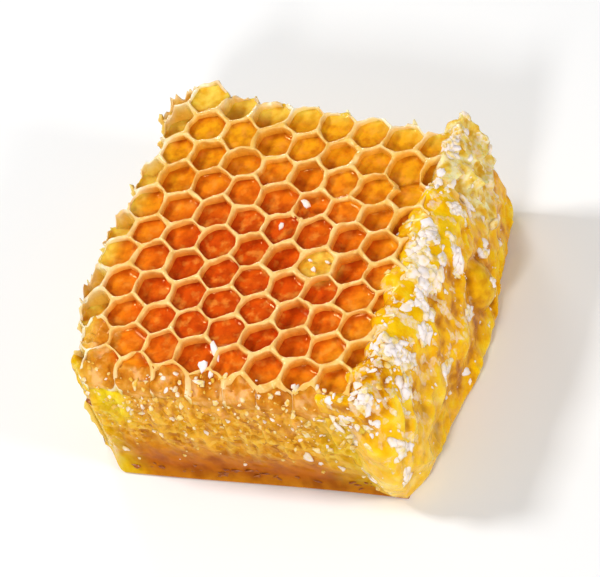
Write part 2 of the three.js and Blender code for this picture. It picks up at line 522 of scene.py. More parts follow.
def cut_by_knife(mesh, inwards):
    """The mesh cut along planes that lie inwards of the knife's front and right cuts,
    with the loops that each leaves open filled."""
    made = bmesh.new()
    made.from_mesh(mesh)
    corner = Vector((right_of(COMB_LOW[1]), front_of(COMB_HIGH[0]), 0))
    left = Vector((COMB_LOW[0], front_of(COMB_LOW[0]), 0))
    back = Vector((right_of(COMB_HIGH[1]), COMB_HIGH[1], 0))
    for far, inset in zip((left, back), inwards):
        side = (far - corner).normalized()
        normal = Vector((side.y, -side.x, 0))
        if normal.dot(corner) < 0:
            normal = -normal
        result = bmesh.ops.bisect_plane(
            made,
            geom=made.verts[:] + made.edges[:] + made.faces[:],
            plane_co=(corner - normal * inset) * MM,
            plane_no=normal,
            clear_outer=True,
        )
        rim = [e for e in result["geom_cut"] if isinstance(e, bmesh.types.BMEdge)]
        bmesh.ops.triangle_fill(made, use_beauty=True, edges=rim, normal=normal)
    made.to_mesh(mesh)
    made.free()
    return mesh


# ---- Materials ----------------------------------------------------------

# Honey and wet wax reflect the warm honey about them more than the pale floor.
WET = {"specular_ior_level": 0.18, "specular_tint": (1.0, 0.7, 0.28, 1.0)}


def tint(code):
    """A colour code as linear red, green and blue."""
    parts = np.array([int(code[i : i + 2], 16) for i in (0, 2, 4)]) / 255
    linear = np.where(parts <= 0.04045, parts / 12.92, ((parts + 0.055) / 1.055) ** 2.4)
    return tuple(linear.tolist())


def rgba(value):
    """A colour code, a grey or a colour as red, green, blue and alpha."""
    if isinstance(value, str):
        value = tint(value)
    elif isinstance(value, (int, float)):
        value = (value,) * 3
    return (*value, 1)


class Finish:
    """A material being made: adds nodes and links them by socket name."""

    def __init__(self, name):
        """Starts from a Principled shader."""
        self.material = bpy.data.materials.new(name)
        self.material.use_nodes = True
        self.tree = self.material.node_tree
        self.shader = next(n for n in self.tree.nodes if n.type == "BSDF_PRINCIPLED")

    def add(self, kind, inputs=(), **settings):
        """Adds a node with values or links for its inputs."""
        made = self.tree.nodes.new(kind)
        for key, value in settings.items():
            setattr(made, key, value)
        for key, value in dict(inputs).items():
            self.put(made.inputs[key], value)
        return made

    def put(self, socket, value):
        """Links an output to a socket, or sets the socket's own value."""
        if isinstance(value, bpy.types.NodeSocket):
            self.tree.links.new(value, socket)
        elif isinstance(value, str):
            socket.default_value = rgba(value)
        else:
            socket.default_value = value

    def own(self, name):
        """A number kept on the mesh's points."""
        return self.add("ShaderNodeAttribute", attribute_name=name).outputs["Fac"]

    def spots(self, size, stretch=(1, 1, 1)):
        """Places on the piece, counted in steps of the given size in millimetres."""
        place = self.add("ShaderNodeTexCoord").outputs["Object"]
        scale = [1 / (size * MM * along) for along in stretch]
        return self.add("ShaderNodeMapping", {"Vector": place, "Scale": scale}).outputs[0]

    def grain(self, size, detail=3.0, stretch=(1, 1, 1)):
        """Noise from 0 to 1 with blotches of the given size in millimetres."""
        inputs = {"Vector": self.spots(size, stretch), "Scale": 1.0, "Detail": detail}
        return self.add("ShaderNodeTexNoise", inputs).outputs["Fac"]

    def crystals(self, size):
        """Cells of the given size in millimetres, each with a random grey, and how
        far each place is from its cell's middle."""
        made = self.add("ShaderNodeTexVoronoi", {"Vector": self.spots(size), "Scale": 1.0})
        return made.outputs["Color"], made.outputs["Distance"]

    def ramp(self, value, *stops):
        """Colours between stops, each a place and a colour code, grey or colour."""
        made = self.add("ShaderNodeValToRGB", {"Fac": value})
        points = made.color_ramp.elements
        while len(points) < len(stops):
            points.new(0.5)
        for point, (place, colour) in zip(points, stops):
            point.position = place
            point.color = rgba(colour)
        return made.outputs["Color"]

    def blotches(self, size, detail, *stops, stretch=(1, 1, 1)):
        """Colours between stops, spread by noise of the given size."""
        return self.ramp(self.grain(size, detail, stretch), *stops)

    def mix(self, share, first, second, blend="MIX"):
        """The first colour, with a share of the second one blended in."""
        made = self.add("ShaderNodeMix", data_type="RGBA", blend_type=blend)
        self.put(made.inputs[0], share)
        self.put(made.inputs[6], first)
        self.put(made.inputs[7], second)
        return made.outputs[2]

    def math(self, operation, *values, clamp=False):
        """A sum or product of numbers, held from 0 to 1 by clamp."""
        made = self.add("ShaderNodeMath", operation=operation, use_clamp=clamp)
        for socket, value in zip(made.inputs, values):
            self.put(socket, value)
        return made.outputs[0]

    def bump(self, height, distance):
        """Relief from a height of 0 to 1, over a distance in millimetres."""
        inputs = {"Height": height, "Distance": distance * MM, "Strength": 0.6}
        return self.add("ShaderNodeBump", inputs).outputs["Normal"]

    def scatter(self, weight, reach, radius):
        """Light that enters the surface and leaves it a little further on: how much,
        how far in millimetres, and how far for red, green and blue."""
        self.finish(
            subsurface_weight=weight, subsurface_scale=reach * MM, subsurface_radius=radius
        )

    def finish(self, **inputs):
        """Values or links for the shader's sockets, named in small letters."""
        for name, value in inputs.items():
            title = name.replace("_", " ").title().replace("Ior", "IOR")
            self.put(self.shader.inputs[title], value)
        return self.material


def wax_finish(colours):
    """Beeswax: cream along the rims, golden below them and orange deep down, partly its own paler
    rims and partly painted shade and painted honey-coloured light in the cells;
    redder amidst the piece as painted shade; pale where it was torn, partly its own thin wax and
    partly painted backlight."""
    made = Finish("beeswax")
    depth = made.own("depth")
    # Golden to orange further below the rims: partly the wax's own paler rims, partly painted shade
    # and painted honey-coloured light down in the cells.
    gold = made.ramp(depth, (0.04, "fcc85c"), (0.18, "f4b83c"), (0.42, "e49c1e"), (1, "cc7c0c"))
    red = made.ramp(depth, (0.05, "fcc870"), (0.2, "f6a840"), (0.42, "dc6c16"), (1, "b84206"))
    # Painted light: the wax is redder amidst the face and golden towards the backlit sides.
    colour = made.mix(made.own("painted_shade_red"), gold, red)
    mottle = made.blotches(1.3, 4, (0.3, "d8bc90"), (0.65, "ffffff"))
    colour = made.mix(0.6, colour, mottle, "MULTIPLY")
    # Pale and lemon where the cells were torn: partly the thin wax's own tone, partly painted
    # backlight through it and painted light against its shade.
    pale = made.ramp(depth, (0, "fffae0"), (0.1, "fcf0a8"), (0.35, "f8dc64"), (1, "f2c234"))
    amber = made.blotches(3.5, 4, (0.46, 0.0), (0.64, 0.45), stretch=(1, 1, 2.5))
    pale = made.mix(amber, pale, "d88c1c")
    colour = made.mix(made.own("torn"), colour, pale)
    crest = made.ramp(depth, (0.0, 1.0), (0.025, 0.75), (0.075, 0.0))
    uneven = made.blotches(1.6, 4, (0.4, 0.05), (0.58, 1.0))
    bare = made.math("MULTIPLY_ADD", made.own("flooded"), -0.6, 1.0)
    crest = made.math("MULTIPLY", made.math("MULTIPLY", crest, uneven), bare)
    colour = made.mix(crest, colour, rgba(colours.rims))
    made.scatter(0.1, 0.25, (1.0, 0.85, 0.65))
    return made.finish(
        base_color=colour,
        roughness=made.blotches(0.9, 3, (0.35, 0.12), (0.65, 0.3)),
        normal=made.bump(made.grain(0.45, 4), 0.16),
        specular_ior_level=0.45,
        specular_tint=(1.0, 0.9, 0.6, 1.0),
    )


def honey_finish(colours):
    """Honey in the cells: wet and clear, painted deep red amidst the piece and golden towards
    its sides as painted backlight through the thin edges, and yellow in the torn ones."""
    made = Finish("cell honey")
    blotch = made.math("MULTIPLY_ADD", made.grain(2.2, 3), 0.5, -0.25)
    # Painted light: deep red amidst the face, golden towards the backlit sides, with random
    # blotches.
    share = made.math("ADD", made.own("painted_shade_red"), blotch, clamp=True)
    stops = [(0, colours.honey), (0.35, "f89818"), (0.7, "f07a12"), (1, colours.deep_honey)]
    colour = made.ramp(share, *stops)
    streak = made.blotches(1.3, 4, (0.3, "c07c48"), (0.58, "ffffff"))
    colour = made.mix(0.6, colour, streak, "MULTIPLY")
    light = made.blotches(1.5, 3, (0.52, 0.0), (0.68, 0.55))
    colour = made.mix(light, colour, "f8a43c")
    # Painted shade: the honey is darkened along the cell walls.
    colour = made.mix(made.own("painted_wall_shade"), colour, "c87838", "MULTIPLY")
    # Yellow in the torn cells: painted backlight through their thin walls; the crystallised cell is
    # its own yellow.
    yellow = made.blotches(1.5, 3, (0.35, "ecb42c"), (0.65, "fcdc5c"))
    colour = made.mix(made.own("torn"), colour, yellow)
    stops = [(0.36, "b4600c"), (0.47, "d0801c"), (0.56, "e09838"), (0.66, "f4bc78")]
    colour = made.mix(made.own("cloudy"), colour, made.blotches(2.2, 5, *stops))
    crumpled = made.math("MULTIPLY", made.own("cloudy"), made.grain(0.9, 5))
    relief = made.math("MULTIPLY_ADD", crumpled, 5.0, made.grain(0.8, 2))
    made.scatter(0.3, 1.0, (1.0, 0.4, 0.08))
    return made.finish(
        base_color=colour, roughness=0.07, normal=made.bump(relief, 0.08), **WET
    )


def front_finish(colours):
    """Honey and crushed cells over the front cut: amber at the foot and golden above,
    where it is grainy with crystals of wax; lemon at its left end."""
    made = Finish("front honey")
    stops = [(0.02, "d08418"), (0.1, "c06602"), (0.22, "cc7604"), (0.36, "e09004")]
    base = made.ramp(made.own("high"), *stops, (0.6, colours.front))
    deep = made.blotches(2.6, 4, (0.35, "c09c58"), (0.6, "ffffff"))
    base = made.mix(0.75, base, deep, "MULTIPLY")
    tone, middle = made.crystals(1.1)
    small = made.crystals(0.55)[0]
    stops = [(0.3, "a86004"), (0.45, "dc9408"), (0.58, "f2b428"), (0.7, "f8cc58")]
    speck = made.ramp(made.mix(0.5, tone, small), *stops)
    where = made.blotches(2.0, 3, (0.38, 0.2), (0.6, 0.85))
    colour = made.mix(made.math("MULTIPLY", made.own("grainy"), where), base, speck)
    colour = made.mix(made.math("MULTIPLY", made.own("wall"), 0.6), colour, "f6c448")
    rosy = made.blotches(0.9, 3, (0.36, "c88028"), (0.6, "f4b478"))
    colour = made.mix(made.own("rosy"), colour, rosy)
    thin = made.blotches(1.8, 4, (0.3, "d8ac08"), (0.5, "f4d40c"), (0.7, "fcec50"))
    colour = made.mix(made.own("thin"), colour, thin)
    coarse = made.math("MULTIPLY", made.own("grainy"), middle)
    made.scatter(0.3, 1.2, (1.0, 0.5, 0.08))
    return made.finish(
        base_color=colour,
        roughness=0.14,
        normal=made.bump(coarse, 0.35),
        specular_ior_level=0.06,
    )


def run_finish(colours):
    """Honey with crushed wax down the right side: dark amber in the hollows, golden
    on the rises, and pale lemon where wax lies crumpled in it."""
    made = Finish("run honey")
    # Dark amber in the hollows and golden on the rises: partly deeper honey in the hollows, partly
    # painted shade there.
    rise = made.math("MULTIPLY_ADD", made.own("proud"), 0.3, 0.48)
    blotch = made.math("MULTIPLY_ADD", made.grain(2.2, 5), 1.1, -0.55)
    dark = [(0.15, "a05602"), (0.3, "cc8004"), (0.46, colours.glaze)]
    bright = [(0.62, "f8c008"), (0.8, "fcd028"), (0.95, "fee070")]
    colour = made.ramp(made.math("ADD", rise, blotch, clamp=True), *dark, *bright)
    for name, size, detail, stops in (
        ("thin", 1.8, 4, [(0.3, "dca81c"), (0.5, "f4cc3c"), (0.7, "fce498")]),
        ("crumpled", 1.7, 5, [(0.36, "d8a428"), (0.5, "f0d468"), (0.62, "fcf2c0")]),
        ("bulge", 1.6, 3, [(0.34, "c88406"), (0.5, "e0ac10"), (0.66, "f4cc24")]),
    ):
        colour = made.mix(made.own(name), colour, made.blotches(size, detail, *stops))
    patch = made.blotches(1.6, 4, (0.54, 0.0), (0.57, 1.0), stretch=(1, 1, 1.8))
    strewn = made.math("MULTIPLY", made.own("frost"), patch)
    fringe = made.math("MULTIPLY_ADD", made.own("white"), 0.5, made.grain(1.1, 5))
    heaped = made.ramp(fringe, (0.7, 0.0), (0.76, 1.0))
    frost = made.math("MAXIMUM", strewn, heaped, clamp=True)
    pale = made.blotches(0.5, 3, (0.4, "f6d888"), (0.6, "fceee4"))
    colour = made.mix(frost, colour, pale)
    relief = made.math("ADD", made.grain(0.8, 4), made.math("MULTIPLY", frost, 0.7))
    made.scatter(0.3, 1.2, (1.0, 0.55, 0.08))
    return made.finish(
        base_color=colour, roughness=0.08, normal=made.bump(relief, 0.3), **WET
    )


def flake_finish(colours):
    """Crushed wax, nearly white and wet, each flake with a tone of its own."""
    made = Finish("pale crushed wax")
    uneven = made.math("MULTIPLY_ADD", made.grain(0.9, 4), 1.6, -0.8)
    tone = made.math("ADD", made.own("tone"), uneven, clamp=True)
    stops = [(0.1, "ecb840"), (0.35, "f6dc94"), (0.6, colours.flakes), (1, "fcf0ee")]
    bump = made.bump(made.grain(0.5, 2), 0.15)
    made.scatter(0.15, 0.3, (1.0, 0.9, 0.8))
    colour = made.ramp(tone, *stops)
    return made.finish(base_color=colour, roughness=0.16, normal=bump, **WET)


def crumb_finish():
    """Brown crumbs of propolis and old wax."""
    made = Finish("brown crumbs")
    colour = made.blotches(0.6, 3, (0.35, "8c4006"), (0.65, "b0600c"))
    return made.finish(base_color=colour, roughness=0.3)


# ---- Cut sides ----------------------------------------------------------


def spline(controls, steps):
    """A smooth closed curve: a uniform cubic B-spline over its control points."""
    controls = np.asarray(controls, float)
    place = np.arange(steps) / steps * len(controls)
    start = np.floor(place).astype(int)
    t = (place - start)[:, None]
    weights = (
        (1 - t) ** 3 / 6,
        (3 * t**3 - 6 * t**2 + 4) / 6,
        (-3 * t**3 + 3 * t**2 + 3 * t + 1) / 6,
        t**3 / 6,
    )
    turn = [(start + k - 1) % len(controls) for k in range(4)]
    return sum(weight * controls[index] for weight, index in zip(weights, turn))


def carry(profile, path, outward):
    """Profiles of (inset, height) pairs, one for each step of a flat path."""
    flat = path[:, None, :] - outward[:, None, :] * profile[..., 0, None]
    return raised(flat, profile[..., 1])


def with_ends(rings):
    """A tube's rings with one more at each end, drawn together to a point."""
    first, last = (
        np.broadcast_to(ring.mean(axis=0), ring.shape) for ring in (rings[0], rings[-1])
    )
    return np.concatenate([first[None], rings, last[None]])


def wall_share(points, shift, width):
    """1 on the middle line of a wall and 0 a width away from it: how far the point
    is from the boundary of the cell that it lies in."""
    nearest = np.full(points.shape[:-1], np.inf)
    for spot in cells_of(shift)[2]:
        reach = ((points - spot) @ SIDE_NORMALS.T).max(axis=-1)
        nearest = np.minimum(nearest, reach)
    return np.clip(1 - np.abs(CELL / 2 - nearest) / width, 0, 1)


def walls_behind(points, inwards, width):
    """Where the cut cell walls of both layers stand behind a cut side, or the middle
    sheet: lines that wander a little on their way down."""
    sway = 0.35 * noise(points * [0.6, 0.6, 1], 2.4, 61)
    flat = points[..., :2] + inwards + sway[..., None]
    upper = wall_share(flat, 0, width)
    lower = wall_share(flat, LAYER_SHIFT, width)
    level = MIDDLE + 0.6 * noise(flat, 2.5, 62)
    sheet = np.clip(1 - np.abs(points[..., 2] - level) / width, 0, 1)
    return np.maximum(np.where(points[..., 2] > level, upper, lower), sheet)


class Skin:
    """A glaze being made: rings of points, and numbers that its material reads."""

    def __init__(self, rings, outside):
        """Outside is 1 where the skin shows, and 0 on its hidden back."""
        self.rings = rings
        self.outside = np.broadcast_to(outside, rings.shape[:2])
        self.notes = {}

    def add(self, name, values):
        """Keeps a number for each point, with the end rings' numbers at the poles."""
        values = np.broadcast_to(values, self.rings.shape[:2])
        self.notes[name] = np.concatenate([values[:1], values, values[-1:]])

    def mesh(self, name):
        """The skin as a closed tube."""
        rings = with_ends(self.rings)
        quads = rings_to_faces(1, *rings.shape[:2])[:, OTHER_WAY]
        return to_mesh(name, rings, quads, self.notes)

    def normals(self):
        """Unit normals from the differences along and across the rings."""
        along = np.gradient(self.rings, axis=0)
        across = np.roll(self.rings, -1, axis=1) - np.roll(self.rings, 1, axis=1)
        normal = np.cross(along, across)
        return normal / (np.linalg.norm(normal, axis=-1, keepdims=True) + 1e-9)


FRONT_PROFILE = [
    (2.4, 17.6),
    (1.4, 18.2),
    (0.7, 18.2),
    (0.05, 17.0),
    (0.0, 13.0),
    (0.0, 8.5),
    (0.1, 4.0),
    (0.1, 1.4),
    (-0.8, 0.3),
    (-0.4, 0.0),
    (2.6, 0.0),
    (3.0, 5.0),
    (3.0, 12.0),
    (3.2, 16.0),
]


FRONT_START = -24.3  # x of the glaze's left end
FRONT_TURN = 4.2  # how far the glaze bends back at its left end
FRONT_SLOPE = 1.7  # how far the cut leans in at the foot of its right end
PROFILE_STEPS = 170
FRONT_STEPS = 300
RUN_STEPS = 290


def front_skin():
    """Honey over the front cut: a closed profile carried from left to right. The cut
    walls stand a little proud of it, and lumps and crystals roughen its upper half."""
    x = np.linspace(FRONT_START, COMB_HIGH[0] - 0.4, FRONT_STEPS)
    path = np.stack([x, front_of(x)], axis=-1)
    outward = np.tile([0.0, -1.0], (len(x), 1))
    profile = spline(FRONT_PROFILE, PROFILE_STEPS)
    rings = carry(np.broadcast_to(profile, (len(x), *profile.shape)), path, outward)
    skin = Skin(rings, step(1.6, 0.9, profile[:, 0]))
    height = rings[..., 2]

    wall = walls_behind(rings, [0, 0.5], 0.45)
    upper = step(4, 11, height + 1.5 * noise(rings, 4.0, 47))
    lump = 0.5 * noise(rings, 2.8, 41) + (0.1 + 0.35 * upper) * noise(rings, 1.2, 42)
    lump += (0.05 + 0.25 * upper) * noise(rings, 0.6, 43)
    fade = step(0.3, 4, height)
    press = fade * (0.32 * wall * upper - 0.24 + 0.6 * lump)
    rings[..., 1] -= press * skin.outside
    brow = 0.9 * noise(rings[..., :2], 2.6, 44) + 0.5 * noise(rings[..., :2], 1.1, 40)
    rings[..., 2] += brow * step(13, 18, height)
    rings[..., 1] += FRONT_TURN * (1 - step(-24.4, -19.5, x))[:, None]
    rings[..., 1] += FRONT_SLOPE * step(-26, 22, x)[:, None] * step(9, 0, height)

    x = rings[..., 0]
    skin.add("grainy", upper)
    skin.add("wall", wall * fade * upper)
    skin.add("high", np.clip(height / THICKNESS, 0, 1))
    rosy = step(12.5, 17.0, height + 2.5 * noise(rings, 2.0, 45)) * step(-19, -15, x)
    skin.add("rosy", 0.5 * rosy * (0.5 + 0.5 * noise(rings, 1.1, 46)))
    patch = np.exp(-(((x + 17) / 2.6) ** 4) - ((height - 16) / 4.0) ** 4)
    green = 0.6 * step(-16.0, -21.0, x + 0.25 * (height - 8))
    bright = 0.45 * step(10.0, 17.0, x) * step(0.5, 2.5, height)
    thin = np.maximum(np.maximum(patch, green), bright)
    skin.add("thin", thin * (0.8 + 0.2 * noise(rings, 1.4, 48)))
    return skin


RUN_PROFILE = [
    (4.4, 20.7),
    (3.3, 21.9),
    (1.8, 22.3),
    (0.3, 22.0),
    (-0.9, 20.4),
    (-1.5, 17.6),
    (-2.1, 13.5),
    (-2.6, 9.5),
    (-2.7, 5.5),
    (-2.3, 2.2),
    (-2.6, 0.5),
    (-1.8, 0.0),
    (1.6, 0.0),
    (2.0, 6.0),
    (2.0, 14.0),
    (3.9, 18.9),
]
RUN_START = 8.0  # how far the run reaches round the corner onto the front
RUN_LENGTH = 60.0  # about how long its path is
RUN_OVERHANG = 2.6  # how far its path goes on past the back of its CAD node
RUN_SKIRT = 0.8  # the profile swells where it lies less far in than this
BULGE = {"y": 5.4, "z": 8.0, "wide": 2.7, "tall": 3.8, "proud": 1.3}
CRUMPLE = {"y": 12.5, "z": 9.0}  # the pale lump lies behind this y, above this z


def run_path(steps):
    """Flat path of the run with its outward directions: from the front side round
    the corner and along the right side to near its back end."""
    corner = np.array([RIGHT_CUT["front"], front_of(RIGHT_CUT["front"])])
    start = corner + [-RUN_START, 0.1]
    back_y = RUN_BACK + RUN_OVERHANG
    back = np.array([right_of(back_y), back_y])
    lengths = [np.linalg.norm(corner - start), np.linalg.norm(back - corner)]
    far = np.linspace(0, sum(lengths), steps)
    first, second = (corner - start) / lengths[0], (back - corner) / lengths[1]
    raw = np.where(
        (far < lengths[0])[:, None],
        start + first * far[:, None],
        corner + second * (far - lengths[0])[:, None],
    )
    turn = step(-1.8, 1.8, far - lengths[0])[:, None]
    heading = first * (1 - turn) + second * turn
    heading /= np.linalg.norm(heading, axis=1)[:, None]
    outward = np.stack([heading[:, 1], -heading[:, 0]], axis=-1)
    rounding = np.exp(-(((far - lengths[0]) / 1.6) ** 2))[:, None]
    return raw - outward * 0.5 * rounding, outward, far / far[-1]


# Ridges in the run lean over from upright: each old axis in terms of the new ones.
SLANT = np.array([[1, 0, 0], [0, 0.87, 0.5], [0, -0.5, 0.87]])


def bulge_gap(y, z):
    """Distance from the bulge's middle, 1 at its edge."""
    return np.hypot((y - BULGE["y"]) / BULGE["wide"], (z - BULGE["z"]) / BULGE["tall"])


# Patches where crushed wax lies thick: x, y, z, width and length, and lean in degrees. The small
# one on the bulge is a painted highlight.
PATCHES = [
    (20.5, 18.5, 22, 1.5, 4.5, 10),
    (23.5, 9.5, 21.5, 1.5, 2, 0),
    (25, 12.5, 16.5, 1, 4, -15),
    (22, 3.5, 22, 2.5, 3.5, 20),
    (21.5, 0, 22, 2.5, 3.5, -10),
    (25, 1, 21.5, 2, 2, 0),
    (25, 3.5, 17, 1.5, 6.5, -30),
    (25, -3.5, 20, 3.5, 3.5, 20),
    (25, -7, 18.5, 2, 4, 0),
    (25, -10, 17, 3, 3, 0),
    (23, -16, 22, 2, 3.5, 0),
    (25, -15, 18, 2, 3.5, 25),
    (25, -19, 17, 3, 3, 0),
    (25, -10, 9, 3, 2, 10),
    (25, 0, 9, 2, 3, 20),
    (25, 9.5, 10, 1.5, 1.5, 0),
    # A painted highlight: a small pale patch on the bulge's bright spot.
    (25, 6, 8.5, 1, 1.5, 15),
    (22.5, -25.5, 12, 2, 5, 15),
    (21.5, -26, 6, 2, 3.5, -10),
]
BITS_EACH = 7
GOLDEN_TURN = 2.4  # radians


def patch_frame(places, x, y, z, lean):
    """Offsets of places from a patch: across it, along it and out of it. A patch on
    the side stands upright and one on top points to the back, each leaning over."""
    on_top = step(19.5, 21.0, z)
    offset = places - np.stack([x, y, z], axis=-1)
    aside = offset[..., 0] * on_top + offset[..., 1] * (1 - on_top)
    rise = offset[..., 1] * on_top + offset[..., 2] * (1 - on_top)
    out = offset[..., 2] * on_top + offset[..., 0] * (1 - on_top)
    cos, sin = np.cos(np.radians(lean)), np.sin(np.radians(lean))
    return aside * cos + rise * sin, rise * cos - aside * sin, out


def patch_share(places):
    """1 within the patches of crushed wax and the painted highlight on the bulge, fading over their
    oval edges.
    """
    share = np.zeros(places.shape[:-1])
    for x, y, z, width, length, lean in PATCHES:
        across, along, out = patch_frame(places, x, y, z, lean)
        gap = np.hypot(np.hypot(2 * across / width, 2 * along / length), out / 6)
        share = np.maximum(share, step(1.35, 0.75, gap))
    return share


def run_skin():
    """Honey and crushed wax down the right side: a closed profile carried round the
    front corner and along the side, thin at its ends, and narrower on top towards the
    back. Lumps and streaks lie on it, one smooth bulge, and crumpled wax at the back."""
    path, outward, share = run_path(RUN_STEPS)
    profile = spline(RUN_PROFILE, PROFILE_STEPS)
    swell = step(0, 0.22, share) * (0.55 + 0.45 * step(1, 0.86, share))
    swell *= 1 + 0.42 * np.exp(-((path[:, 1] / 10.5) ** 4))
    full = np.broadcast_to(profile, (len(path), *profile.shape)).copy()
    inset = full[..., 0]
    swollen = RUN_SKIRT + (inset - RUN_SKIRT) * swell[:, None]
    full[..., 0] = np.where(inset < RUN_SKIRT, swollen, inset)
    top = step(19.0, 21.0, profile[:, 1])[None, :]
    wave = np.stack([share * RUN_LENGTH, share * 0], axis=-1)
    narrow = 1 - 0.62 * step(6, 17, path[:, 1])
    narrow += 0.3 * noise(wave, 3.0, 56) + 0.15 * noise(wave, 1.0, 49)
    narrow *= 0.45 + 0.55 * step(0.03, 0.12, share)
    beyond = np.clip(full[..., 0] - RUN_SKIRT, 0, None)
    full[..., 0] += beyond * (narrow[:, None] - 1) * top
    rings = carry(full, path, outward)
    shown = step(1.9, 1.2, profile[:, 0] - 3.0 * top[0])
    skin = Skin(rings, shown)
    y, height = rings[..., 1], rings[..., 2]

    gap = bulge_gap(y, height)
    bulge = np.exp(-(gap**6))
    ridge = 1 - np.abs(noise(rings, 2.3, 57))
    crumple = step(-1.5, 1.5, y - CRUMPLE["y"] + 1.5 * noise(rings, 3.0, 58))
    crumple = crumple * step(-1.5, 1.5, height - CRUMPLE["z"] + 2 * noise(rings, 2.5, 59))
    slanted = rings @ SLANT
    bent = slanted + 0.8 * noise(rings, 3.0, 50)[..., None]
    lump = 0.8 * noise(rings, 4.4, 51)
    lump += 0.9 * (0.45 - np.abs(noise(bent * [1, 1, 0.4], 1.9, 52)))
    lump += 0.13 * noise(rings, 0.8, 53)
    lump += crumple * (1.4 * ridge**2 - 0.7)
    lump = lump * (1 - bulge) + BULGE["proud"] * bulge * (1.2 - gap**2)
    lump -= 0.5 * np.exp(-(((gap - 1.25) / 0.2) ** 2))
    reach = lump * skin.outside * step(0, 2.5, height + 0.6)
    reach *= step(0.02, 0.14, share)[:, None]
    rings[..., :2] += outward[:, None, :] * (reach * (1 - 0.8 * top))[..., None]
    rings[..., 2] += 0.4 * (noise(rings[..., :2], 1.5, 55) - 0.3) * top
    rings[..., 2] = np.clip(rings[..., 2], 0.0, THICKNESS + 0.5)
    lean = step(9, 0, height)
    rings[..., 1] += FRONT_SLOPE * lean * step(-16, -25, y)
    rings[..., 0] -= 1.2 * lean * step(-10, -26, y)

    skin.add("proud", lump * (1 - bulge) - 0.2 * bulge)
    cluster = 0.5 + 0.5 * noise(rings, 4.5, 48)
    clear_of_bulge = bulge_gap(y, height) > 1.2
    skin.add("frost", cluster * step(5, 14, height) * clear_of_bulge)
    lemon = 0.6 * step(-6, -20, y) * step(18, 6, height)
    skin.add("thin", lemon * (0.75 + 0.25 * noise(rings, 1.6, 60)))
    skin.add("crumpled", 0.85 * crumple)
    skin.add("bulge", 0.85 * bulge)
    skin.add("white", patch_share(rings))
    return skin


# ---- Torn walls, flakes and crumbs --------------------------------------


def lone_corners(shift):
    """Corners of the cells where no other cell meets, with their outward directions."""
    middle = cells_of(shift)[2]
    corner = (middle[:, None, :] + CORNER_WAYS * CELL / SQRT3).reshape(-1, 2)
    outward = np.tile(CORNER_WAYS, (len(middle), 1))
    gap = np.linalg.norm(corner[:, None, :] - corner, axis=-1)
    alone = (gap < CELL / 10).sum(axis=1) == 1
    x, y = corner.T
    kept = alone & (y > front_of(x) + 3) & (x < right_of(y) - 2)
    return corner[kept], outward[kept]


def torn_walls(shift, facing, seed):
    """Stubs of the walls that were torn off: thin plates that stand out from the
    lone corners, from the middle sheet to a ragged top. Each is a tube of flat
    rings, whose length wanders with the height, bent aside by its square. Facing is
    as for the cells."""
    rng = np.random.default_rng(seed)
    corner, outward = lone_corners(shift)
    count, levels = len(corner), 16
    side = np.stack([-outward[:, 1], outward[:, 0]], axis=-1)
    rise = np.linspace(0, 1, levels)
    length = rng.uniform(0.5, 1.4, (count, 1)) * (1 - 0.35 * rise)
    places = np.broadcast_arrays(rise * 9, np.arange(count)[:, None] * 7.3)
    climb = np.stack(places, axis=-1)
    length = np.clip(length * (0.75 + 0.55 * noise(climb, 1.0, seed)), 0.15, None)
    curl = rng.uniform(-0.35, 0.35, (count, 1, 1))
    if facing > 0:
        top = rim_height(corner) + rng.uniform(-1.2, 0.4, count)
    else:
        top = THICKNESS - 0.1 + rng.uniform(-1.6, -0.7, count)
    level = MIDDLE + (top - MIDDLE)[:, None] * rise

    out = np.array([-0.3, 0.35, 0.8, 1.0, 0.8, 0.35])
    thick = np.array([0.0, 0.15, 0.1, 0.0, -0.1, -0.15])
    reach = np.where(out > 0, out * length[..., None], out)
    aside = thick + curl * reach**2
    base = wander(corner)
    flat = base[:, None, None, :] + outward[:, None, None, :] * reach[..., None]
    flat = flat + side[:, None, None, :] * aside[..., None]
    flat[..., 0] = held_in(flat[..., 0], COMB_LOW[0] - SQUEEZE / 3)
    flat[..., 1] = -held_in(-flat[..., 1], -COMB_HIGH[1] - SQUEEZE / 3)
    rings = raised(flat, level[..., None])
    rings[:, -1, :, 2] += 0.6 * noise(rings[:, -1, :, :2], 0.5, seed + 1)
    first, last = (
        np.broadcast_to(rings[:, [end]].mean(axis=2, keepdims=True), rings[:, :1].shape)
        for end in (0, -1)
    )
    rings = np.concatenate([first, rings, last], axis=1)
    quads = rings_to_faces(count, levels + 2, len(out))[:, ::-1]
    points = rings.reshape(-1, 3)
    if facing < 0:
        points[:, 2] = THICKNESS - points[:, 2]
        quads = quads[:, ::-1]
    return points, quads


def shards(count, corners, seed):
    """Thin jagged flakes about the origin, 1 across: rings scaled from an outline
    whose corners lie at random distances, domed above and below, and bent."""
    rng = np.random.default_rng(seed)
    angle = np.arange(corners) + rng.uniform(-0.3, 0.3, (count, corners))
    angle *= 2 * np.pi / corners
    reach = rng.uniform(0.24, 0.5, (count, corners))
    corner = np.stack([np.cos(angle), np.sin(angle)], axis=-1) * reach[..., None]
    bowed = rng.uniform(0.85, 1.2, (count, corners, 1))
    between_them = (corner + np.roll(corner, -1, axis=1)) / 2 * bowed
    outline = np.stack([corner, between_them], axis=2).reshape(count, -1, 2)
    share = np.array([0, 0.6, 0.95, 1.0, 0.85, 0])
    height = np.array([0.36, 0.34, 0.24, 0.0, -0.3, -0.5])
    flat = outline[:, None, :, :] * share[:, None, None]
    bend = rng.uniform(-0.9, 0.9, (count, 1, 1))
    uneven = 0.6 + 0.8 * rng.random((count, len(height), 2 * corners))
    uneven[:, [0, -1]] = 1
    tall = height[:, None] * uneven + bend * flat[..., 1] ** 2
    return raised(flat, tall)


FLAKE_CORNERS = 6
CRUMB_CORNERS = 5
HIGHEST = THICKNESS + 0.55  # nothing that lies on the piece reaches past this


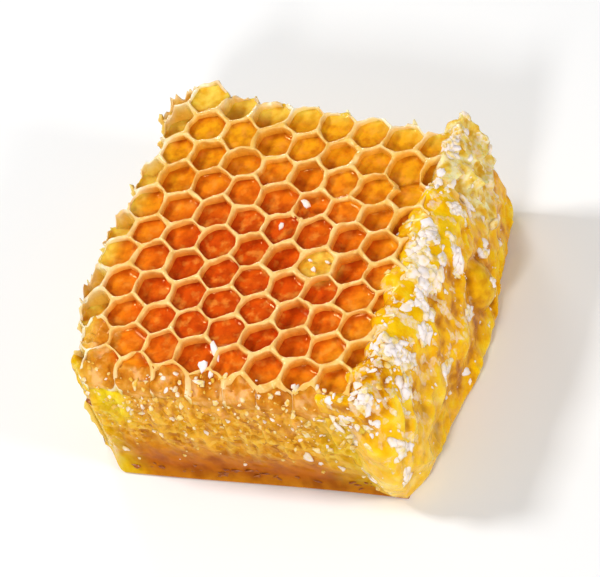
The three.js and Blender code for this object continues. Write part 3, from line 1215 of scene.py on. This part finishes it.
def lay(shapes, spots, normals, size, spin):
    """Sizes each shape, turns it flat on its normal with a spin, moves it to its
    spot, and shifts it up or down to between the floor and the highest level."""
    normals = normals / np.linalg.norm(normals, axis=1, keepdims=True)
    helper = np.where(np.abs(normals[:, 2:]) < 0.9, [0.0, 0.0, 1.0], [0.0, 1.0, 0.0])
    first = np.cross(helper, normals)
    first /= np.linalg.norm(first, axis=1, keepdims=True)
    second = np.cross(normals, first)
    cos, sin = np.cos(spin)[:, None], np.sin(spin)[:, None]
    along, aside = first * cos + second * sin, second * cos - first * sin
    basis = np.stack([along, aside, normals], axis=1)
    sized = shapes * size[:, None, None, :]
    placed = np.einsum("nrsk,nkc->nrsc", sized, basis) + spots[:, None, None, :]
    above = placed[..., 2].max(axis=(1, 2)) - HIGHEST
    below = -placed[..., 2].min(axis=(1, 2))
    placed[..., 2] += (np.clip(below, 0, None) - np.clip(above, 0, None))[:, None, None]
    return placed


def strew(shapes, spots, normals, size, tilt, spin, rng):
    """Shapes laid on their spots, each tilted and spun at random."""
    tilted = normals + rng.normal(0, tilt, normals.shape)
    return lay(shapes, spots, tilted, size, rng.normal(0, spin, len(spots)))


def shards_to_mesh(name, placed, tone):
    """One mesh of all the shapes, each with its tone."""
    count, rings, spokes = placed.shape[:3]
    quads = rings_to_faces(count, rings, spokes)
    return to_mesh(name, placed, quads, {"tone": np.repeat(tone, rings * spokes)})


def pick(skin, density, count, rng):
    """Random places on a skin, likelier where density is high: spots and normals."""
    chance_of = (density * skin.outside).ravel()
    chosen = rng.choice(chance_of.size, count, replace=False, p=chance_of / chance_of.sum())
    return skin.rings.reshape(-1, 3)[chosen], skin.normals().reshape(-1, 3)[chosen]


# Where flakes lie thickest: x, y, z, how far they spread, and how many.
CLUSTERS = [
    (19.5, 20.5, 22.0, 1.8, 8),
    (21.0, 12.0, 22.0, 1.6, 8),
    (21.8, 1.5, 21.8, 1.8, 12),
    (25.0, 3.5, 17.5, 1.5, 8),
    (24.5, 8.5, 18.0, 1.4, 7),
    (25.0, 14.0, 12.5, 1.6, 8),
    (23.5, -4.5, 20.0, 1.6, 10),
    (25.0, -9.5, 17.0, 1.2, 5),
    (23.0, -16.0, 21.5, 2.0, 14),
    (25.5, -7.5, 9.0, 1.8, 7),
    (24.5, -19.0, 17.0, 2.0, 12),
    (22.5, -24.5, 21.0, 1.6, 12),
    (20.0, -26.5, 17.5, 1.8, 10),
    (24.0, -23.5, 9.5, 1.8, 8),
    (22.5, -26.0, 5.0, 1.8, 8),
]


# Loose bits on the face: x, y, z, width, length, and lean in degrees.
FACE_BITS = [
    (2.5, 6.5, 21.5, 1.5, 2, 20),
    (0.5, 2, 22, 1, 1.5, -30),
    (7.5, -4.5, 21.5, 0.8, 1, 0),
    (9, -3, 21.5, 0.7, 1.3, 40),
    (6.5, -3, 21.5, 0.6, 1, 80),
    (-2.5, -22.5, 22, 2, 2.5, 0),
    (-1, -23.5, 21.5, 1.3, 1.3, 50),
    (-2, -19.5, 22.5, 1.3, 4, 5),
]


def patches(run):
    """Bits heaped in each patch: they lie at sunflower-seed places over its oval, a
    golden turn and the root of a growing share apart, moved onto the run."""
    rng = np.random.default_rng(75)
    x, y, z, width, length, lean = np.repeat(PATCHES, BITS_EACH, axis=0).T
    number = np.tile(np.arange(BITS_EACH), len(PATCHES))
    reach = 0.5 * np.sqrt((number + 0.3) / BITS_EACH)
    turn = number * GOLDEN_TURN
    across, along = reach * np.cos(turn) * width, reach * np.sin(turn) * length
    shown = run.outside.ravel() > 0.5
    skin, normal = run.rings.reshape(-1, 3)[shown], run.normals().reshape(-1, 3)[shown]
    nearest = []
    for *patch, right, up in zip(x, y, z, lean, across, along):
        aside, rise, out = patch_frame(skin, *patch)
        nearest.append(np.argmin((aside - right) ** 2 + (rise - up) ** 2 + 0.05 * out**2))
    count = len(nearest)
    wide = np.minimum(width, 3.0) * rng.uniform(0.7, 1.05, count)
    long = np.maximum(wide, 0.55 * length) * rng.uniform(0.9, 1.2, count)
    size = np.stack([wide, long, rng.uniform(0.5, 0.9, count)], axis=-1)
    spin = np.radians(-lean) + rng.normal(0, 0.35, count)
    tilted = normal[nearest] + rng.normal(0, 0.15, (count, 3))
    shapes = shards(count, FLAKE_CORNERS, 76)
    placed = lay(shapes, skin[nearest] + 0.08 * normal[nearest], tilted, size, spin)
    return placed, rng.uniform(0.4, 1.0, count)


def face_bits():
    """The loose bits on the face, lying flat."""
    x, y, z, width, length, lean = np.transpose(FACE_BITS)
    count = len(x)
    size = np.stack([width, length, 0.9 + 0 * width], axis=-1)
    upward = np.tile([0.2, -0.4, 0.9], (count, 1))
    spots = np.stack([x, y, z], axis=-1)
    placed = lay(shards(count, FLAKE_CORNERS, 78), spots, upward, size, np.radians(lean))
    return placed, 0.6 + 0.4 * chance(np.arange(count), 0, 6)


FRONT_FLAKES = 50


def crushed_wax(run, front, flakes):
    """Pale flakes pressed into the run, in clusters and strewn between them, and into
    the right end of the front. Most are small and few are large."""
    rng = np.random.default_rng(71)
    x, y, z = np.moveaxis(run.rings, -1, 0)
    on_run = step(0.8, 4, z) * (0.15 + step(6, 16, z)) * (bulge_gap(y, z) > 1.25)
    spread = sum(
        count * np.exp(-(np.linalg.norm(run.rings - [x0, y0, z0], axis=-1) / reach) ** 2)
        for x0, y0, z0, reach, count in CLUSTERS
    )
    spots, normals = pick(run, on_run * (0.12 + spread / 3), flakes, rng)
    x, y, z = np.moveaxis(front.rings, -1, 0)
    on_front = step(6, 20, x) * step(5, 9, z) * step(20, 16, z)
    more_spots, more_normals = pick(front, on_front, FRONT_FLAKES, rng)
    spots = np.concatenate([spots, more_spots])
    normals = np.concatenate([normals, more_normals])
    count = len(spots)
    length = 0.7 + 3.0 * rng.random(count) ** 2.2
    width = length * rng.uniform(0.5, 0.95, count)
    size = np.stack([width, length, rng.uniform(0.4, 0.8, count)], axis=-1)
    shapes = shards(count, FLAKE_CORNERS, 73)
    placed = strew(shapes, spots + normals * 0.1, normals, size, 0.25, 0.7, rng)
    # The patches' bits include the painted highlight on the bulge.
    heaped, heaped_tone = patches(run)
    loose, loose_tone = face_bits()
    tone = np.concatenate([rng.uniform(0.2, 1.0, count), heaped_tone, loose_tone])
    return np.concatenate([placed, heaped, loose]), tone


def wax_crumbs(run, front, crumbs):
    """Small pale crumbs over the front and the run."""
    rng = np.random.default_rng(81)
    x, z = front.rings[..., 0], front.rings[..., 2]
    on_front = (0.25 + step(9, 14, z)) * step(19, 16, z) * step(1.5, 4, z) * step(-21, -17, x)
    spots, normals = pick(front, on_front, crumbs // 2, rng)
    more_spots, more_normals = pick(run, step(1, 3, run.rings[..., 2]), crumbs // 4, rng)
    rest = crumbs // 4
    across, behind = rng.uniform(-21, 20, rest), rng.uniform(0.2, 3.4, rest) ** 0.9
    sliced = np.stack([across, front_of(across) + behind], axis=-1)
    sliced = raised(sliced, rim_height(sliced) - 0.25)
    leaning = np.tile([0.0, -0.6, 0.8], (len(sliced), 1))
    spots = np.concatenate([spots, more_spots, sliced])
    normals = np.concatenate([normals, more_normals, leaning])
    count = len(spots)
    width = 0.35 + 1.0 * rng.random(count) ** 2.5
    size = np.stack([width, width * rng.uniform(0.9, 1.7, count), width * 0.6], -1)
    shapes = shards(count, CRUMB_CORNERS, 82)
    placed = strew(shapes, spots + normals * 0.06, normals, size, 0.5, 1, rng)
    on_run = spots[:, 0] > RIGHT_CUT["back"]
    return placed, rng.uniform(0.05, 0.6, count) + 0.35 * on_run


FOOT_CRUMBS = 46
LONE_CRUMB = (-21.0, -24.9, 13.6)  # where the one at the left end lies
LONE_SIZE = (2.4, 1.7, 1.5)


def brown_crumbs(front):
    """Brown crumbs along the foot of the front, and one at its left end."""
    rng = np.random.default_rng(91)
    x, z = front.rings[..., 0], front.rings[..., 2]
    gathered = np.clip(noise(front.rings, 5.0, 92), 0, 1) + 0.1
    at_foot = step(0.9, 1.4, z) * step(3.0, 1.8, z) * gathered
    spots, normals = pick(front, at_foot * step(-20, -17, x), FOOT_CRUMBS, rng)
    count = len(spots)
    width = rng.uniform(0.3, 1.1, count)
    size = np.stack([width * rng.uniform(1.4, 2.6, count), width * 0.6, width * 0.35], -1)
    spots[0], size[0] = LONE_CRUMB, LONE_SIZE
    shapes = shards(count, CRUMB_CORNERS, 93)
    placed = strew(shapes, spots, normals, size, 0.3, 0.3, rng)
    return placed, rng.random(count)


# ---- Numbers for the colours --------------------------------------------

# Painted light: red amidst the face and golden towards the sides, as if lit through from the sides.
SHADE_RED_MIDDLE = (-2.5, -7.5)  # where the honey is reddest
SHADE_RED_REACH = (19.5, 19.0)  # how far from there its red goes, in x and in y
DEEPEST = 5.0  # the wax has its deepest colour this far below the rims


def painted_shade_red_of(places):
    """How red the honey and wax are painted: most amidst the face, none at its back, left and
    right, where painted backlight leaves them golden.
    """
    gap = (places[:, :2] - SHADE_RED_MIDDLE) / SHADE_RED_REACH
    return step(1.5, 0.45, np.linalg.norm(gap, axis=1))


def note_wax(mesh, depth_of):
    """Keeps the numbers that the wax's colours follow."""
    places = places_of(mesh)
    note(mesh, "depth", np.clip(depth_of(places) / DEEPEST, 0, 1))
    note(mesh, "painted_shade_red", painted_shade_red_of(places))
    note(mesh, "flooded", flooded(places))
    # Pale at the torn edges: partly the thin wax's own tone, partly painted backlight.
    note(mesh, "torn", step(4.8, 1.8, inset_of(places[:, :2])) * 0.95)


def note_honey(mesh):
    """Keeps the numbers that the colours of the honey in the cells follow."""
    places = places_of(mesh)
    gap = np.linalg.norm(places[:, :2] - lattice_spot(*CRYSTAL_CELL), axis=1)
    crystals = 0.8 * np.exp(-((gap / 2.9) ** 6)) * (places[:, 2] > MIDDLE)
    note(mesh, "painted_shade_red", painted_shade_red_of(places))
    left_end = step(-17.0, -24.0, places[:, 0])
    note(mesh, "cloudy", 0.85 * flooded(places) * (1 - 0.7 * left_end))
    # Painted shade along the cell walls, none in the full cells.
    note(mesh, "painted_wall_shade", 0.8 * painted_wall_shade(places) * (1 - flooded(places)))
    # Torn cells: painted backlight; the crystal cell: its own yellow.
    note(mesh, "torn", np.maximum(0.9 * step(4.2, 1.4, inset_of(places[:, :2])), crystals))


# ---- Add-on -------------------------------------------------------------


def colour_property(name, description, code):
    """A colour that a user may change."""
    return FloatVectorProperty(
        name=name,
        description=description,
        subtype="COLOR",
        min=0.0,
        max=1.0,
        default=tint(code),
    )


def size_property(name, description, millimetres, least, most):
    """A length that a user may change, between its least and its most."""
    return FloatProperty(
        name=name,
        description=description,
        subtype="DISTANCE",
        unit="LENGTH",
        default=millimetres * MM,
        min=least * MM,
        max=most * MM,
        precision=5,
    )


class HoneycombSizes(bpy.types.PropertyGroup):
    """Sizes of the cells, and how much wax is strewn over the cut sides"""

    bead: size_property("Rims", "Thickness of the bead round a cell's mouth", 0.42, 0.2, 1.2)
    wall: size_property("Walls", "Thickness of a wall below its bead", 0.3, 0.1, 1.0)
    least_depth: size_property("Least depth", "From rim to honey, fullest cell", 1.0, 0.4, 5.0)
    most_depth: size_property("Most depth", "From rim to honey, emptiest cell", 2.2, 0.4, 8.0)
    flakes: IntProperty(
        name="Flakes", description="Flakes of wax strewn over the run", default=240, min=1, max=2000
    )
    crumbs: IntProperty(
        name="Crumbs", description="Crumbs of wax on the cut sides", default=440, min=8, max=4000
    )


class HoneycombColours(bpy.types.PropertyGroup):
    """Colours of the wax, the honey and the floor"""

    rims: colour_property("Rims", "Wax along the crest of the cells' rims", "ffd486")
    honey: colour_property("Honey", "Honey in the cells near the sides", "f8ae18")
    deep_honey: colour_property("Deep honey", "Honey in the cells amidst the piece", "dc540a")
    glaze: colour_property("Glaze", "Honey down the right side", "f0ac08")
    front: colour_property("Front", "Honey over the front cut", "f0a818")
    flakes: colour_property("Flakes", "Crushed wax on the cut sides", "fce8d4")
    floor: colour_property("Floor", "Floor under the piece", "f6f6f6")


def make_once(name, maker, context):
    """The material of that name, made on first use."""
    found = bpy.data.materials.get(name)
    return found or maker(context.scene.honeycomb_colours)


class HONEYCOMB_OT_upper_cells(bpy.types.Operator):
    """Build the wax walls of the upper cells"""

    bl_idname = "honeycomb.upper_cells"
    bl_label = "Upper cells"

    def execute(self, context):
        sizes = context.scene.honeycomb_sizes
        points, quads = cell_walls(0, SIDE_STEPS, rim_height, UPPER_FLOOR, 1, sizes)
        mesh = cut_by_knife(to_mesh("upper_cells", points, quads), UPPER_CUT)
        note_wax(mesh, lambda places: rim_height(places) - places[:, 2])
        material = make_once("beeswax", wax_finish, context)
        add_piece("upper_cells", mesh, material, ["comb"])
        return {"FINISHED"}


class HONEYCOMB_OT_lower_cells(bpy.types.Operator):
    """Build the wax walls of the lower cells, which the piece lies on"""

    bl_idname = "honeycomb.lower_cells"
    bl_label = "Lower cells"

    def execute(self, context):
        def height(places):
            """Height of the lower rims before they are turned over: nearly even."""
            return THICKNESS - 0.06 + 0.06 * noise(places[..., :2], 2.6, 26)

        sizes = context.scene.honeycomb_sizes
        floor = THICKNESS - LOWER_FLOOR
        points, quads = cell_walls(LAYER_SHIFT, LOWER_STEPS, height, floor, -1, sizes)
        mesh = cut_by_knife(to_mesh("lower_cells", points, quads), LOWER_CUT)
        note_wax(mesh, lambda places: places[:, 2] * 0.6)
        add_piece("lower_cells", mesh, make_once("beeswax", wax_finish, context))
        return {"FINISHED"}


class HONEYCOMB_OT_torn_walls(bpy.types.Operator):
    """Build the stubs of torn walls along the back and the left"""

    bl_idname = "honeycomb.torn_walls"
    bl_label = "Torn walls"

    def execute(self, context):
        for name, shift, facing, seed in (
            ("torn_upper_walls", 0, 1, 101),
            ("torn_lower_walls", LAYER_SHIFT, -1, 111),
        ):
            mesh = to_mesh(name, *torn_walls(shift, facing, seed))
            note_wax(mesh, lambda places: 0.3 + 0.15 * np.abs(places[:, 2] - THICKNESS))
            add_piece(name, mesh, make_once("beeswax", wax_finish, context))
        return {"FINISHED"}


class HONEYCOMB_OT_cell_honey(bpy.types.Operator):
    """Fill the cells of both layers with honey"""

    bl_idname = "honeycomb.cell_honey"
    bl_label = "Honey in the cells"

    def execute(self, context):
        sizes = context.scene.honeycomb_sizes
        material = make_once("cell honey", honey_finish, context)
        for name, made, cut in (
            ("cell_honey", upper_honey(sizes), UPPER_CUT),
            ("lower_honey", lower_honey(sizes), LOWER_CUT),
        ):
            mesh = cut_by_knife(to_mesh(name, *made), cut + HONEY_SHRINK)
            note_honey(mesh)
            add_piece(name, mesh, material)
        return {"FINISHED"}


class HONEYCOMB_OT_glaze(bpy.types.Operator):
    """Lay the honey over the front cut and down the right side"""

    bl_idname = "honeycomb.glaze"
    bl_label = "Honey on the cut sides"

    def execute(self, context):
        front = make_once("front honey", front_finish, context)
        run = make_once("run honey", run_finish, context)
        add_piece("front_glaze", front_skin().mesh("front_glaze"), front)
        add_piece("honey_run_skin", run_skin().mesh("honey_run_skin"), run, ["honey_run"])
        return {"FINISHED"}


class HONEYCOMB_OT_crushed_wax(bpy.types.Operator):
    """Press flakes and crumbs of wax into the honey on the cut sides"""

    bl_idname = "honeycomb.crushed_wax"
    bl_label = "Crushed wax"

    def execute(self, context):
        sizes = context.scene.honeycomb_sizes
        run, front = run_skin(), front_skin()
        pale = make_once("pale crushed wax", flake_finish, context)
        for name, placed in (
            ("crushed_wax", crushed_wax(run, front, sizes.flakes)),
            ("wax_crumbs", wax_crumbs(run, front, sizes.crumbs)),
        ):
            add_piece(name, shards_to_mesh(name, *placed), pale)
        mesh = shards_to_mesh("brown_crumbs", *brown_crumbs(front))
        add_piece("brown_crumbs", mesh, crumb_finish())
        return {"FINISHED"}


CAMERA_SPOT = Vector((299.6, -387.8, 557.9))
CAMERA_UP = Vector((-0.076, 0.760, 0.646))
LENS = 318.0  # focal length in millimetres
TARGET = Vector((0.6, 0, THICKNESS / 2 - 0.5))
FLOOR_REACH = 3.0  # metres
DAYLIGHT = 0.24


def aim(item, spot, target, up):
    """Puts a camera or lamp at spot, looking at target, with up upright in its view."""
    back = (spot - target).normalized()
    right = up.cross(back).normalized()
    turn = Matrix((right, back.cross(right), back)).transposed()
    item.matrix_world = Matrix.Translation(spot * MM) @ turn.to_4x4()


# Each lamp's place and width in millimetres, and its power in watts.
LAMPS = {
    "key": ((-330, -20, 420), 90, 1.45),
    "back": ((-300, 420, 130), 140, 0.85),
    "fill": ((430, -60, 240), 100, 0.85),
    "front": ((60, -420, 330), 90, 1.15),
}


class HONEYCOMB_OT_stage(bpy.types.Operator):
    """Set the floor, the lamps and the camera"""

    bl_idname = "honeycomb.stage"
    bl_label = "Stage"

    def execute(self, context):
        scene = context.scene
        camera = bpy.data.objects.new("camera", bpy.data.cameras.new("camera"))
        camera.data.lens = LENS
        camera.data.clip_start, camera.data.clip_end = 0.01, 10
        scene.collection.objects.link(camera)
        aim(camera, CAMERA_SPOT, TARGET, CAMERA_UP)
        scene.camera = camera

        for name, (spot, size, power) in LAMPS.items():
            light = bpy.data.lights.new(name, "AREA")
            light.size = size * MM
            light.energy = power
            lamp = bpy.data.objects.new(name, light)
            scene.collection.objects.link(lamp)
            aim(lamp, Vector(spot), TARGET, Vector((0, 0, 1)))

        world = bpy.data.worlds.new("studio")
        world.use_nodes = True
        background = world.node_tree.nodes["Background"]
        background.inputs["Color"].default_value = (1, 1, 1, 1)
        background.inputs["Strength"].default_value = DAYLIGHT
        scene.world = world
        scene.view_settings.view_transform = "Standard"

        mesh = bpy.data.meshes.new("floor")
        corners = np.array([(-1, -1, 0), (1, -1, 0), (1, 1, 0), (-1, 1, 0)]) * FLOOR_REACH
        mesh.from_pydata(corners, [], [(0, 1, 2, 3)])
        floor = bpy.data.objects.new("floor", mesh)
        colour = rgba(scene.honeycomb_colours.floor)
        mesh.materials.append(Finish("pale floor").finish(base_color=colour, roughness=0.6))
        scene.collection.objects.link(floor)
        return {"FINISHED"}


STEPS = [
    HONEYCOMB_OT_upper_cells,
    HONEYCOMB_OT_lower_cells,
    HONEYCOMB_OT_torn_walls,
    HONEYCOMB_OT_cell_honey,
    HONEYCOMB_OT_glaze,
    HONEYCOMB_OT_crushed_wax,
    HONEYCOMB_OT_stage,
]


class HONEYCOMB_PT_sidebar(bpy.types.Panel):
    """Lists the steps that build the honeycomb"""

    bl_label = "Honeycomb"
    bl_idname = "HONEYCOMB_PT_sidebar"
    bl_space_type = "VIEW_3D"
    bl_region_type = "UI"
    bl_category = "Honeycomb"

    def draw(self, context):
        """A button for each step, and a field for each size and colour."""
        for made in STEPS:
            self.layout.operator(made.bl_idname)
        for group in (context.scene.honeycomb_sizes, context.scene.honeycomb_colours):
            for name in group.bl_rna.properties.keys():
                if name not in ("rna_type", "name"):
                    self.layout.prop(group, name)


CLASSES = [HoneycombSizes, HoneycombColours, *STEPS, HONEYCOMB_PT_sidebar]


def register():
    """Adds the classes and the scene's sizes and colours."""
    for made in CLASSES:
        bpy.utils.register_class(made)
    bpy.types.Scene.honeycomb_sizes = PointerProperty(type=HoneycombSizes)
    bpy.types.Scene.honeycomb_colours = PointerProperty(type=HoneycombColours)


def unregister():
    """Takes them away again."""
    del bpy.types.Scene.honeycomb_colours
    del bpy.types.Scene.honeycomb_sizes
    for made in reversed(CLASSES):
        bpy.utils.unregister_class(made)


def main():
    """Builds the piece and its stage."""
    register()
    for made in STEPS:
        group, name = made.bl_idname.split(".")
        getattr(getattr(bpy.ops, group), name)()


if __name__ == "__main__":
    main()
